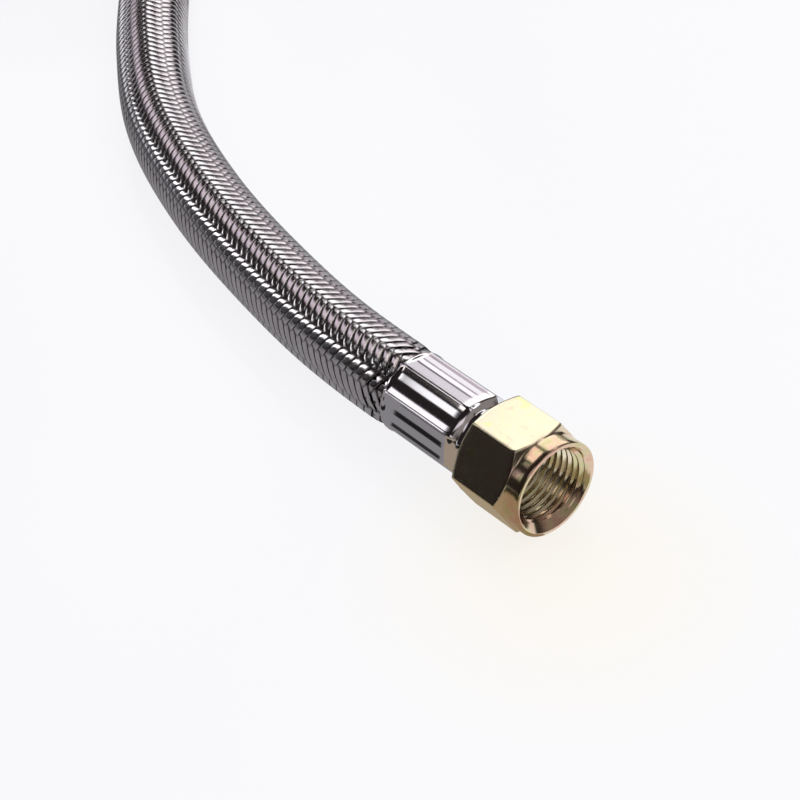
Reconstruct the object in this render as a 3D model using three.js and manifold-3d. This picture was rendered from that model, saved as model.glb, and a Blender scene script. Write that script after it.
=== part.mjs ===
// Braided gas hose: rubber tube in a steel wire braid, with a crimped fitting and a swivel flare
// nut at each end. Millimetres, +Z up. End a points along +X; the spare length lies in a coil.
import * as THREE from 'three';
import { mergeVertices } from 'three/addons/utils/BufferGeometryUtils.js';
import Module from 'manifold-3d';

const wasm = await Module();
wasm.setup();

const GAP = 0.3; // between solids that touch on the real hose

// Swivel nut, 5/8-18 UNF inside. Axial sizes run back from the plane of its mouth.
const ACROSS_FLATS = 19.05;
const ACROSS_CORNERS = ACROSS_FLATS / Math.cos(Math.PI / 6);
const NUT_LENGTH = 16.3;
const COLLAR_RADIUS = ACROSS_FLATS / 2 - 0.05;
const COLLAR_LENGTH = 3.5;
const NUT_CHAMFER = Math.PI / 6;
const NUT_BACK_RADIUS = ACROSS_FLATS / 2 - 0.6;
const THREAD_MAJOR = 15.875 / 2;
const THREAD_PITCH = 25.4 / 18;
const THREAD_MINOR = THREAD_MAJOR - 0.5413 * THREAD_PITCH;
const THREAD_TURNS = 7;
const MOUTH_RADIUS = 8.7;
const THREAD_START = MOUTH_RADIUS - THREAD_MINOR;
const THREAD_END = THREAD_START + THREAD_TURNS * THREAD_PITCH;
const LEDGE = THREAD_END + 2.0; // front of the wall that holds the nut on its stem
const NUT_SEGMENTS = 48;

// Stem: flare seat inside the nut, neck through it, barbed tail in the hose.
const STEM_BORE = 3.3;
const NECK_RADIUS = 5.2;
const SEAT_RADIUS = THREAD_MINOR - GAP;
const SEAT_TIP_RADIUS = 4.0;
const SEAT_BACK = LEDGE - GAP;
const SEAT_RIM = 1.1;
const SEAT_TIP = SEAT_BACK - SEAT_RIM - (SEAT_RADIUS - SEAT_TIP_RADIUS);
const BARB_RADIUS = 4.65;
const BARB_ROOT = 4.25;
const BARBS = 4;
const STEM_SEGMENTS = 36;

// Ferrule: eight crimped lands with a ridge between each pair.
const FERRULE_FRONT = NUT_LENGTH + 0.8;
const FERRULE_COLLAR = 7.0;
const LAND_FRONT = FERRULE_FRONT + 2.9;
const RIDGE_RADIUS = 8.3;
const RIDGES = 8;
const RIDGE_TURN = (14 * Math.PI) / 180;
const LAND_CURVE = 14;
const LAND_STEPS = 4;
const BELL_RADIUS = 8.4;
const BELL_LENGTH = 1.5;
const LIP = 1.5;
const FERRULE_BORE = 7.1;
const FITTING_LENGTH = 37.9;
const FERRULE_SEGMENTS = 48;

// Hose and its layers inside the ferrule.
const HOSE_RADIUS = 8.3;
const BRAID_WALL = 0.6;
const LINER_BORE = BARB_RADIUS + GAP;
const HOSE_SIDES = 12;

// Coil of the spare length: two turns one on the other, and the start of a third. Places on it
// are degrees of turn from where the straight run touches it.
const COIL_CENTRE = [-333.6, 67.3];
const COIL_RADIUS = 85;
const COIL_START = 53; // direction of its first point from its centre
const COIL_STEPS = 92;
const LAYER = 2 * HOSE_RADIUS + GAP;
const COIL_TOP = 2 * HOSE_RADIUS + LAYER;
const CLIMBS = [[270, 330], [630, 690]];
const TAIL_FROM = 690;
const TAIL_TO = 757;
const TAIL_STEPS = 9;
const TAIL_STRAIGHT = 10;

const TIE_ANGLES = [160, 270]; // directions from the coil's centre
const TIE_WIDTH = 8;
const TIE_WALL = 1.0;
const TIE_LIFT = TIE_WALL + GAP; // of the hose where a strap passes under it
const TIE_RAMP = 20;

// Middle of the hose from the ferrule to the coil.
const ROUTE = [
  [-19.3, 0.0, 9.5],
  [-27.3, 0.2, 9.3],
  [-43.3, 1.3, 8.7],
  [-67.0, 4.7, 8.4],
  [-98.2, 11.6, 8.4],
  [-128.2, 22.6, 8.4],
  [-153.8, 38.2, 8.3],
  [-186.5, 62.9, 8.3],
  [-219.8, 88.0, 8.3],
  [-239.4, 102.7, 8.3],
  [-261.0, 119.0, 8.3],
  [-282.2, 135.0, 8.3],
];
const ROUTE_STEPS = 22;

const AXIS_HEIGHT = ACROSS_FLATS / 2; // a flat of the nut lies on the table
const FAR_HEIGHT = COIL_TOP + ACROSS_CORNERS / 2 + 0.1; // the far nut turns clear of the coil

const zinc = { color: 0xcdb667, metalness: 0.9, roughness: 0.3 };
const chrome = { color: 0xd8d8dc, metalness: 1.0, roughness: 0.12 };
const steel = { color: 0x9a9a9e, metalness: 0.9, roughness: 0.35 };
const rubber = { color: 0x1c1c1e, metalness: 0.0, roughness: 0.85 };
const strap = { color: 0x222326, metalness: 0.0, roughness: 0.7 };

const group = new THREE.Group();
group.name = 'braided_gas_hose';

function add(name, geometry, finish) {
  geometry.computeVertexNormals();
  const mesh = new THREE.Mesh(geometry, new THREE.MeshStandardMaterial(finish));
  mesh.name = name;
  group.add(mesh);
}

// Merged vertices without normals or uv, as the boolean library needs them.
function welded(geometry) {
  const bare = new THREE.BufferGeometry();
  bare.setAttribute('position', geometry.getAttribute('position').clone());
  if (geometry.index) bare.setIndex(geometry.index.clone());
  return mergeVertices(bare, 1e-4);
}

function solid(geometry) {
  const clean = welded(geometry);
  return new wasm.Manifold(new wasm.Mesh({
    numProp: 3,
    vertProperties: new Float32Array(clean.getAttribute('position').array),
    triVerts: new Uint32Array(clean.index.array),
  }));
}

function meshed(body) {
  const { vertProperties, triVerts } = body.getMesh();
  const geometry = new THREE.BufferGeometry();
  geometry.setAttribute('position', new THREE.BufferAttribute(new Float32Array(vertProperties), 3));
  geometry.setIndex(new THREE.BufferAttribute(new Uint32Array(triVerts), 1));
  return geometry;
}

// A turned form about the X axis. Each point is [distance back from the mouth, radius].
function turned(points, segments) {
  const profile = points.map(([back, radius]) => new THREE.Vector2(radius, -back));
  profile.push(profile[0].clone());
  const forward = THREE.ShapeUtils.isClockWise(profile) ? profile.reverse() : profile;
  return new THREE.LatheGeometry(forward, segments).rotateZ(-Math.PI / 2);
}

// A prism along X between two distances back from the mouth. Points are [y, z].
function prism(points, from, to) {
  const outline = new THREE.Shape(points.map(([y, z]) => new THREE.Vector2(-z, y)));
  const length = to - from;
  return new THREE.ExtrudeGeometry(outline, { depth: length, bevelEnabled: false })
    .rotateY(Math.PI / 2)
    .translate(-to, 0, 0);
}

function polar(radius, angle) {
  return [radius * Math.cos(angle), radius * Math.sin(angle)];
}

// Grooves of the nut's thread, as points of its bore from the front to the back.
function threadProfile() {
  const points = [];
  for (let i = 0; i < THREAD_TURNS; i += 1) {
    const start = THREAD_START + i * THREAD_PITCH;
    points.push(
      [start + THREAD_PITCH * 0.25, THREAD_MINOR],
      [start + THREAD_PITCH * 0.56, THREAD_MAJOR],
      [start + THREAD_PITCH * 0.69, THREAD_MAJOR],
      [start + THREAD_PITCH, THREAD_MINOR],
    );
  }
  return points;
}

function swivelNut() {
  const corners = Array.from({ length: 6 }, (_, i) => polar(ACROSS_CORNERS / 2, (i * Math.PI) / 3));
  const hex = solid(prism(corners, 0, NUT_LENGTH));
  const drop = (ACROSS_CORNERS / 2 + 1 - COLLAR_RADIUS) * Math.tan(NUT_CHAMFER);
  const back = (ACROSS_CORNERS / 2 + 1 - NUT_BACK_RADIUS) * Math.tan(NUT_CHAMFER);
  const envelope = solid(turned([
    [0, 0],
    [0, COLLAR_RADIUS - 0.15],
    [0.15, COLLAR_RADIUS],
    [COLLAR_LENGTH, COLLAR_RADIUS],
    [COLLAR_LENGTH + drop, ACROSS_CORNERS / 2 + 1],
    [NUT_LENGTH - back, ACROSS_CORNERS / 2 + 1],
    [NUT_LENGTH, NUT_BACK_RADIUS],
    [NUT_LENGTH, 0],
  ], NUT_SEGMENTS));
  const hole = NECK_RADIUS + GAP;
  const bore = solid(turned([
    [-1, 0],
    [-1, MOUTH_RADIUS],
    [0, MOUTH_RADIUS],
    [THREAD_START, THREAD_MINOR],
    ...threadProfile(),
    [THREAD_END + 0.2, THREAD_MAJOR],
    [LEDGE, THREAD_MAJOR],
    [LEDGE, hole],
    [NUT_LENGTH + 1, hole],
    [NUT_LENGTH + 1, 0],
  ], NUT_SEGMENTS));
  return meshed(hex.intersect(envelope).subtract(bore));
}

function tailStem() {
  const groove = FERRULE_FRONT - GAP;
  const grooveEnd = FERRULE_FRONT + LIP + GAP;
  const tail = grooveEnd + 1.2;
  const tip = FITTING_LENGTH - 1.5;
  const barb = (tip - 1 - tail) / BARBS;
  const points = [
    [SEAT_TIP, STEM_BORE + 0.2],
    [SEAT_TIP, SEAT_TIP_RADIUS],
    [SEAT_TIP + SEAT_RADIUS - SEAT_TIP_RADIUS, SEAT_RADIUS],
    [SEAT_BACK, SEAT_RADIUS],
    [SEAT_BACK, NECK_RADIUS],
    [groove, NECK_RADIUS],
    [groove, BARB_RADIUS - 0.2],
    [grooveEnd, BARB_RADIUS - 0.2],
    [grooveEnd, BARB_RADIUS],
    [tail, BARB_RADIUS],
  ];
  for (let i = 0; i < BARBS; i += 1) {
    points.push([tail + i * barb, BARB_ROOT], [tail + (i + 0.3) * barb, BARB_RADIUS]);
    points.push([tail + (i + 1) * barb, BARB_ROOT]);
  }
  points.push([tip, BARB_ROOT - 0.3], [tip, STEM_BORE], [SEAT_TIP + 0.5, STEM_BORE]);
  const distinct = points.filter((point, i) => i === 0
    || Math.hypot(point[0] - points[i - 1][0], point[1] - points[i - 1][1]) > 1e-6);
  return turned(distinct, STEM_SEGMENTS);
}

// Outline of the crimp: flat arcs that meet in ridges.
function crimpOutline() {
  const half = RIDGE_RADIUS * Math.sin(Math.PI / RIDGES);
  const flat = RIDGE_RADIUS * Math.cos(Math.PI / RIDGES);
  const rise = (offset) => Math.sqrt(LAND_CURVE ** 2 - offset ** 2) - Math.sqrt(LAND_CURVE ** 2 - half ** 2);
  const points = [];
  for (let i = 0; i < RIDGES; i += 1) {
    const middle = RIDGE_TURN + ((i + 0.5) * 2 * Math.PI) / RIDGES;
    for (let j = 0; j < LAND_STEPS; j += 1) {
      const offset = half * ((2 * j) / LAND_STEPS - 1);
      const out = flat + rise(offset);
      points.push([
        out * Math.cos(middle) - offset * Math.sin(middle),
        out * Math.sin(middle) + offset * Math.cos(middle),
      ]);
    }
  }
  return points;
}

function ferrule() {
  const crimp = solid(prism(crimpOutline(), FERRULE_FRONT, FITTING_LENGTH - 0.2));
  const wide = RIDGE_RADIUS + 1;
  const slope = (wide - FERRULE_COLLAR) / (RIDGE_RADIUS - FERRULE_COLLAR);
  const collarEnd = FERRULE_FRONT + 1.5;
  const envelope = solid(turned([
    [FERRULE_FRONT, 0],
    [FERRULE_FRONT, FERRULE_COLLAR - 0.3],
    [FERRULE_FRONT + 0.3, FERRULE_COLLAR],
    [collarEnd, FERRULE_COLLAR],
    [collarEnd + slope * (LAND_FRONT - collarEnd), wide],
    [FITTING_LENGTH, wide],
    [FITTING_LENGTH, 0],
  ], FERRULE_SEGMENTS));
  const bellStart = FITTING_LENGTH - BELL_LENGTH;
  const bell = solid(turned([
    [bellStart, 0],
    [bellStart, FERRULE_BORE + 0.4],
    [FITTING_LENGTH - 0.5, BELL_RADIUS],
    [FITTING_LENGTH, BELL_RADIUS - 0.1],
    [FITTING_LENGTH, 0],
  ], FERRULE_SEGMENTS));
  const lipBore = BARB_RADIUS + GAP - 0.2;
  const bore = solid(turned([
    [FERRULE_FRONT - 1, 0],
    [FERRULE_FRONT - 1, lipBore],
    [FERRULE_FRONT + LIP, lipBore],
    [FERRULE_FRONT + LIP, FERRULE_BORE - 0.8],
    [FERRULE_FRONT + LIP + 0.8, FERRULE_BORE],
    [bellStart, FERRULE_BORE],
    [FITTING_LENGTH, BELL_RADIUS - 0.6],
    [FITTING_LENGTH + 1, BELL_RADIUS - 0.6],
    [FITTING_LENGTH + 1, 0],
  ], FERRULE_SEGMENTS));
  return meshed(crimp.intersect(envelope).add(bell).subtract(bore));
}

function sleeve(inner, outer, from, to) {
  return turned([[from, inner], [from, outer], [to, outer], [to, inner]], STEM_SEGMENTS);
}

// The five pieces of one end, with the mouth FITTING_LENGTH / 2 ahead of the placed point.
function endFitting(tag, place) {
  const inside = FERRULE_FRONT + LIP + 1.2;
  const braidOuter = FERRULE_BORE - GAP;
  const braidInner = braidOuter - BRAID_WALL;
  const pieces = {
    swivel_nut: [swivelNut(), zinc],
    tail_stem: [tailStem(), steel],
    ferrule: [ferrule(), chrome],
    liner_end: [sleeve(LINER_BORE, braidInner - GAP, inside + 1, FITTING_LENGTH), rubber],
    braid_end: [sleeve(braidInner, braidOuter, inside, FITTING_LENGTH), steel],
  };
  Object.entries(pieces).forEach(([name, [geometry, finish]]) => {
    geometry.translate(FITTING_LENGTH / 2, 0, 0).applyMatrix4(place);
    add(`${name}_${tag}`, geometry, finish);
  });
}

// A closed tube through places that each have a middle and a direction.
function hoseTube(places) {
  const up = new THREE.Vector3(0, 0, 1);
  const positions = [];
  const faces = [];
  places.forEach(([middle, along], i) => {
    const side = along.clone().cross(up).normalize();
    const over = side.clone().cross(along).normalize();
    for (let j = 0; j < HOSE_SIDES; j += 1) {
      const [x, y] = polar(HOSE_RADIUS, (j * 2 * Math.PI) / HOSE_SIDES);
      positions.push(...middle.clone().addScaledVector(side, x).addScaledVector(over, y));
      if (i === 0) continue;
      const [a, b] = [(i - 1) * HOSE_SIDES + j, (i - 1) * HOSE_SIDES + ((j + 1) % HOSE_SIDES)];
      faces.push(a, a + HOSE_SIDES, b, b, a + HOSE_SIDES, b + HOSE_SIDES);
    }
  });
  const end = (places.length - 1) * HOSE_SIDES;
  for (let j = 1; j < HOSE_SIDES - 1; j += 1) {
    faces.push(0, j, j + 1, end, end + j + 1, end + j);
  }
  const geometry = new THREE.BufferGeometry();
  geometry.setAttribute('position', new THREE.Float32BufferAttribute(positions, 3));
  geometry.setIndex(faces);
  return geometry;
}

function runPlaces() {
  const curve = new THREE.CatmullRomCurve3(ROUTE.map((point) => new THREE.Vector3(...point)));
  return Array.from({ length: ROUTE_STEPS + 1 }, (_, i) => i / ROUTE_STEPS)
    .map((share) => [curve.getPointAt(share), curve.getTangentAt(share)]);
}

function coilPoint(degrees, radius, height) {
  const [x, y] = polar(radius, (degrees * Math.PI) / 180);
  return [COIL_CENTRE[0] + x, COIL_CENTRE[1] + y, height];
}

// A box about a tie's place on the ring, turned to face along the hose.
function onRing(geometry, degrees) {
  return geometry
    .rotateZ((degrees * Math.PI) / 180)
    .translate(...coilPoint(degrees, COIL_RADIUS, 0));
}

const smooth = (share) => {
  const t = Math.min(Math.max(share, 0), 1);
  return t * t * (3 - 2 * t);
};

// Middle of the hose so many degrees round the coil.
function coilMiddle(turned) {
  let height = HOSE_RADIUS;
  CLIMBS.forEach(([from, to]) => { height += LAYER * smooth((turned - from) / (to - from)); });
  const rise = FAR_HEIGHT - HOSE_RADIUS - CLIMBS.length * LAYER;
  height += rise * smooth((turned - TAIL_FROM) / (TAIL_TO - TAIL_FROM));
  TIE_ANGLES.forEach((degrees) => [0, 360].forEach((turn) => {
    const away = Math.abs(turned - (degrees - COIL_START + turn)) / TIE_RAMP;
    height += TIE_LIFT * smooth(1 - away);
  }));
  return new THREE.Vector3(...coilPoint(COIL_START + turned, COIL_RADIUS, height));
}

function coilPlaces(from, to, steps) {
  return Array.from({ length: steps + 1 }, (_, i) => from + ((to - from) * i) / steps)
    .map((turned) => [
      coilMiddle(turned),
      coilMiddle(turned + 0.01).sub(coilMiddle(turned - 0.01)).normalize(),
    ]);
}

// A strap pulled round the two turns, in the upright plane across the hose.
function coilTie(degrees) {
  const low = TIE_LIFT + HOSE_RADIUS;
  const loop = (radius) => {
    const outline = new THREE.Shape();
    outline.absarc(0, low + LAYER, radius, 0, Math.PI);
    outline.absarc(0, low, radius, Math.PI, 2 * Math.PI);
    outline.closePath();
    return outline;
  };
  const outline = loop(HOSE_RADIUS + GAP + TIE_WALL);
  outline.holes.push(loop(HOSE_RADIUS + GAP));
  const band = new THREE.ExtrudeGeometry(outline, {
    depth: TIE_WIDTH, bevelEnabled: false, curveSegments: 12,
  });
  return onRing(band.rotateX(Math.PI / 2).translate(0, TIE_WIDTH / 2, 0), degrees);
}

const heading = (COIL_START + TAIL_TO + 90) * (Math.PI / 180);

function pastTail(along) {
  const [x, y, z] = coilPoint(COIL_START + TAIL_TO, COIL_RADIUS, FAR_HEIGHT);
  return [x + along * Math.cos(heading), y + along * Math.sin(heading), z];
}

// Hose on top of the coil, from where it has climbed to a short straight at the far ferrule.
function tailPlaces() {
  const straight = new THREE.Vector3(Math.cos(heading), Math.sin(heading), 0);
  return [
    ...coilPlaces(TAIL_FROM, TAIL_TO, TAIL_STEPS),
    ...[TAIL_STRAIGHT / 2, TAIL_STRAIGHT].map((along) => (
      [new THREE.Vector3(...pastTail(along)), straight])),
  ];
}

endFitting('a', new THREE.Matrix4().makeTranslation(0, 0, AXIS_HEIGHT));

const farMiddle = new THREE.Vector3(...pastTail(TAIL_STRAIGHT + GAP + FITTING_LENGTH / 2));
endFitting('b', new THREE.Matrix4().makeRotationZ(heading).setPosition(farMiddle));

const coilEnd = TAIL_FROM - (GAP / COIL_RADIUS) * (180 / Math.PI);
add('hose_run', hoseTube(runPlaces()), steel);
add('hose_coil', hoseTube(coilPlaces(0, coilEnd, COIL_STEPS)), steel);
add('hose_tail', hoseTube(tailPlaces()), steel);
TIE_ANGLES.forEach((degrees, i) => add(`coil_tie_${i + 1}`, welded(coilTie(degrees)), strap));

export default group;
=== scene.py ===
# Braided gas hose: rubber tube in a stainless wire braid, with a crimped ferrule and a swivel
# flare nut at each end. One end is seen close; the spare length lies in a tied coil.
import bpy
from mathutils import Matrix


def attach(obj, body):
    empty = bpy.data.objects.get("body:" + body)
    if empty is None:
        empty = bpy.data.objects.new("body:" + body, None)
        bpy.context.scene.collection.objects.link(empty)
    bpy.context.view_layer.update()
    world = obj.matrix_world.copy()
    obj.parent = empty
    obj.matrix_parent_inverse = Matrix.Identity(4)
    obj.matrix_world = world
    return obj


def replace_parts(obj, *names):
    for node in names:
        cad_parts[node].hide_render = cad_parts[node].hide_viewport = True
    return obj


bl_info = {
    "name": "Braided gas hose",
    "version": (1, 0, 0),
    "blender": (4, 5, 0),
    "location": "3D View > Sidebar > Gas hose",
    "description": "Builds a stainless-braided gas hose with crimped flare fittings",
    "category": "Add Mesh",
}

import math
from functools import partial

import bmesh
import bpy
import numpy as np
from bpy.props import FloatProperty, FloatVectorProperty, IntProperty, PointerProperty
from mathutils import Matrix, Vector

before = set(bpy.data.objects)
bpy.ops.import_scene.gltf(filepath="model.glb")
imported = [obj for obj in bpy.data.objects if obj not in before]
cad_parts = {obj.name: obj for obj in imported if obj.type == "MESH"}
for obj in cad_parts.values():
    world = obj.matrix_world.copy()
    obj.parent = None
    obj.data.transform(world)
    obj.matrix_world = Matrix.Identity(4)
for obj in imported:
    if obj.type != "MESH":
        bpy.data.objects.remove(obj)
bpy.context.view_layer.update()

MM = 0.001

# Middle of the hose from inside the near bell to the straight before the coil, in mm.
ROUTE = (
    (-17.7, 0.0, 9.52), (-19.3, 0.0, 9.5), (-27.3, 0.2, 9.3), (-43.3, 1.3, 8.7),
    (-67.0, 4.7, 8.4), (-98.2, 11.6, 8.4), (-128.2, 22.6, 8.4), (-153.8, 38.2, 8.3),
    (-186.5, 62.9, 8.3), (-219.8, 88.0, 8.3), (-239.4, 102.7, 8.3),
)
COIL_CENTRE = (-333.6, 67.3)
COIL_RADIUS = 85.0
COIL_START = 53.0  # degrees, where the straight touches the coil
COIL_SWEEP = 757.0  # degrees of coil before the straight tail
CLIMBS = ((270.0, 330.0), (630.0, 690.0))  # coil degrees over which the hose climbs a layer
TIE_ANGLES = (160.0, 270.0)
LAYER_GAP = 0.3  # between the turns
TIE_WALL = 1.2
TIE_LIFT = 1.3  # of the hose where a strap passes under it
TIE_SPREAD = 20.0  # degrees of coil on each side of a strap over which the hose is lifted
STRAP_WIDTH = 8.0
AXIS_HEIGHT = 9.525
FAR_HEIGHT = 44.5985
FITTING_LENGTH = 37.9
TAIL_LENGTH = 10.3  # straight from the coil to the far ferrule
SEEN_LENGTH = 200.0  # of the hose from its near end that gets the finest braid
NECK_REACH = 7.0 * MM  # of the pressed-in hose from a ferrule

BRAID_TURN = math.radians(-0.8)  # of the whole braid round the hose
WEAVE_SQUARE = 2.2  # how flat the floats are, and how short the dips between them
SECTION_CROWN = 0.45  # power that squares the oval section of a strand
STRAND_CROWN = 0.045 * MM  # by which a strand looks rounded down at its edges
WIRE_RIDGE = 0.005 * MM

THREAD_DEPTH = 0.5413  # of a unified inside thread, as a share of its pitch
NUT_FILLET = 0.45  # on the hexagon's corners
NUT_LEDGE = 13.404  # from the mouth to the ledge that pulls the stem in
CRIMP_TURN = math.radians(14.0)  # of the ferrule's ridges
LAND_CURVE = 14.0  # radius of a land's shallow arc

CAMERA_PLACE = (232.558, -204.828, 272.960)
CAMERA_AXES = ((0.65329, 0.75574, -0.04548), (-0.45635, 0.44099, 0.77283),
               (0.60412, -0.48413, 0.63298))  # its right, up and back
CAMERA_LENS = 101.735
FLOOR_HALF = 2.5
FLOOR_WHITE = 0.88  # share of the floor's own white where the camera or a reflection sees it

MIRROR_RADIUS = 8.0  # of the fitting and the hose, as the light boxes and cards take it
LINE_AHEAD = 150.0  # by which the fitting's axis is drawn on past its mouth for them
FLATTEST_RAY = -0.012  # slope of the ray that lands furthest off
BOX_REACH = 4000.0

MATHS, VECTORS = "ShaderNodeMath", "ShaderNodeVectorMath"


def linear(colour):
    """An sRGB hex colour as three linear values."""
    channels = [int(colour[i:i + 2], 16) / 255 for i in (1, 3, 5)]
    return [c / 12.92 if c <= 0.04045 else ((c + 0.055) / 1.055) ** 2.4 for c in channels]


class HoseSizes(bpy.types.PropertyGroup):
    """Sizes of the hose and its braid."""

    radius: FloatProperty(
        name="Hose radius", description="Outside of the braid", default=8.3 * MM, unit="LENGTH")
    tube_radius: FloatProperty(
        name="Tube radius", description="Outside of the rubber tube", default=7.68 * MM,
        unit="LENGTH")
    strands: IntProperty(
        name="Strands", description="Strands that run each way round the hose", default=12, min=4)
    lay_angle: FloatProperty(
        name="Braid angle", description="Angle of a strand to the hose",
        default=math.radians(64.2), subtype="ANGLE")
    strand_width: FloatProperty(
        name="Strand width", description="Width of one flat strand", default=1.77 * MM,
        unit="LENGTH")
    strand_thickness: FloatProperty(
        name="Strand thickness", description="Thickness of one strand", default=0.10 * MM,
        unit="LENGTH")
    weave: FloatProperty(
        name="Weave", description="How far a strand goes in and out", default=0.05 * MM,
        unit="LENGTH")
    wires: IntProperty(
        name="Wires", description="Wires side by side in a strand", default=7, min=2)
    neck: FloatProperty(
        name="Neck", description="How far the hose is pressed in at a ferrule",
        default=0.72 * MM, unit="LENGTH")


class FittingSizes(bpy.types.PropertyGroup):
    """Sizes of the nut, stem and ferrule."""

    across_flats: FloatProperty(
        name="Across flats", description="Spanner size of the nut", default=19.05 * MM,
        unit="LENGTH")
    nut_length: FloatProperty(
        name="Nut length", description="From the mouth to the back", default=16.3 * MM,
        unit="LENGTH")
    thread_major: FloatProperty(
        name="Thread radius", description="Root of the inside thread", default=7.9375 * MM,
        unit="LENGTH")
    thread_pitch: FloatProperty(
        name="Thread pitch", description="Distance between turns", default=25.4 / 18 * MM,
        unit="LENGTH")
    ridge_radius: FloatProperty(
        name="Ridge radius", description="Radius over the crimp's ridges", default=8.3 * MM,
        unit="LENGTH")
    lands: IntProperty(name="Lands", description="Flats of the crimp", default=8, min=4)


class Finishes(bpy.types.PropertyGroup):
    """Colours of the metal, rubber and strap."""

    zinc: FloatVectorProperty(
        name="Plated nut", description="Yellow zinc plating", subtype="COLOR", size=3,
        default=linear("#f0e8cc"))
    chrome: FloatVectorProperty(
        name="Ferrule", description="Bright chrome plating", subtype="COLOR", size=3,
        default=linear("#e4e1e6"))
    steel: FloatVectorProperty(
        name="Braid", description="Stainless steel wire", subtype="COLOR", size=3,
        default=linear("#e6e3e6"))
    rubber: FloatVectorProperty(
        name="Tube", description="Black rubber tube", subtype="COLOR", size=3,
        default=linear("#141416"))
    strap: FloatVectorProperty(
        name="Strap", description="Woven tie strap", subtype="COLOR", size=3,
        default=linear("#2c2d31"))
    floor: FloatVectorProperty(
        name="Floor", description="Pale glossy floor", subtype="COLOR", size=3,
        default=linear("#f4f4fa"))


def sizes():
    return bpy.context.scene.hose_sizes


def fitting():
    return bpy.context.scene.fitting_sizes


def finishes():
    return bpy.context.scene.hose_finishes


def smooth(value):
    value = np.clip(value, 0.0, 1.0)
    return value * value * (3.0 - 2.0 * value)


def through(points, step):
    """Points every step along a smooth curve through the given ones."""
    points = np.array(points, float)
    chord = np.r_[0.0, np.cumsum(np.linalg.norm(np.diff(points, axis=0), axis=1))]
    slope = np.gradient(points, chord, axis=0)
    wanted = np.linspace(0.0, chord[-1], int(chord[-1] / step) + 1)
    i = np.clip(np.searchsorted(chord, wanted, side="right") - 1, 0, len(chord) - 2)
    span = (chord[i + 1] - chord[i])[:, None]
    t = (wanted - chord[i])[:, None] / span
    return ((2 * t ** 3 - 3 * t ** 2 + 1) * points[i] + (t ** 3 - 2 * t ** 2 + t) * span * slope[i]
            + (3 * t ** 2 - 2 * t ** 3) * points[i + 1] + (t ** 3 - t ** 2) * span * slope[i + 1])


def coil_points(turned):
    """Middle of the hose at these degrees round the coil, in mm."""
    radius = sizes().radius / MM
    layer = 2 * radius + LAYER_GAP
    height = radius + sum(layer * smooth((turned - low) / (high - low)) for low, high in CLIMBS)
    last = CLIMBS[1][1]
    rise = FAR_HEIGHT - (radius + 2 * layer)
    height = height + rise * smooth((turned - last) / (COIL_SWEEP - last))
    for angle in TIE_ANGLES:
        for turn in (0.0, 360.0):
            away = np.abs(turned - (angle - COIL_START + turn)) / TIE_SPREAD
            height = height + TIE_LIFT * smooth(1.0 - away)
    angle = np.radians(COIL_START + turned)
    return np.stack([COIL_CENTRE[0] + COIL_RADIUS * np.cos(angle),
                     COIL_CENTRE[1] + COIL_RADIUS * np.sin(angle), height], axis=1)


def hose_middle():
    """Middle of the whole hose as points about 1 mm apart, and their distances along it."""
    start = through(ROUTE, 1.0)
    coil = coil_points(np.arange(0.0, COIL_SWEEP, 0.75))
    steps = int(np.linalg.norm(coil[0] - start[-1]))
    straight = np.linspace(start[-1], coil[0], steps + 1)[1:-1]
    end = coil_points(np.array([COIL_SWEEP]))
    tail = end + np.outer(np.linspace(0.0, TAIL_LENGTH + 0.5, 13), (-1.0, 0.0, 0.0))
    points = np.concatenate([start, straight, coil, tail])
    along = np.r_[0.0, np.cumsum(np.linalg.norm(np.diff(points, axis=0), axis=1))]
    return points * MM, along * MM


def side_and_up(points):
    """Unit vectors to one side of the path and up from it, as the braid's tree has them."""
    tangent = np.gradient(points, axis=0)
    tangent /= np.linalg.norm(tangent, axis=1)[:, None]
    side = np.stack([tangent[:, 1], -tangent[:, 0], np.zeros(len(points))], axis=1)
    side /= np.linalg.norm(side, axis=1)[:, None]
    return side, np.cross(tangent, side)


def add_node(tree, kind, inputs=(), stops=(), **settings):
    """A node with its settings and its ramp's stops, and its inputs set or linked. Inputs are
    given by name or in order."""
    node = tree.nodes.new(kind)
    for name, value in settings.items():
        setattr(node, name, value)
    for name, value in inputs.items() if isinstance(inputs, dict) else enumerate(inputs):
        if isinstance(value, bpy.types.Node):
            value = value.outputs[0]
        if isinstance(value, bpy.types.NodeSocket):
            tree.links.new(value, node.inputs[name])
        else:
            node.inputs[name].default_value = value
    for number, (place, colour) in enumerate(stops):
        elements = node.color_ramp.elements
        element = elements[number] if number < len(elements) else elements.new(place)
        element.position, element.color = place, (*linear(colour), 1.0)
    return node


def new_material(name):
    """An empty material, and add_node for its tree."""
    material = bpy.data.materials.new(name)
    material.use_nodes = True
    material.node_tree.nodes.clear()
    return material, partial(add_node, material.node_tree)


def finish(add, colour, roughness, height, strength, depth, **others):
    """Ends a material's tree with its shader and its fine relief."""
    bump = add("ShaderNodeBump", {"Height": height, "Strength": strength, "Distance": depth})
    shader = add("ShaderNodeBsdfPrincipled", {
        "Base Color": colour, "Roughness": roughness, "Normal": bump, **others})
    add("ShaderNodeOutputMaterial", (shader,))


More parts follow.
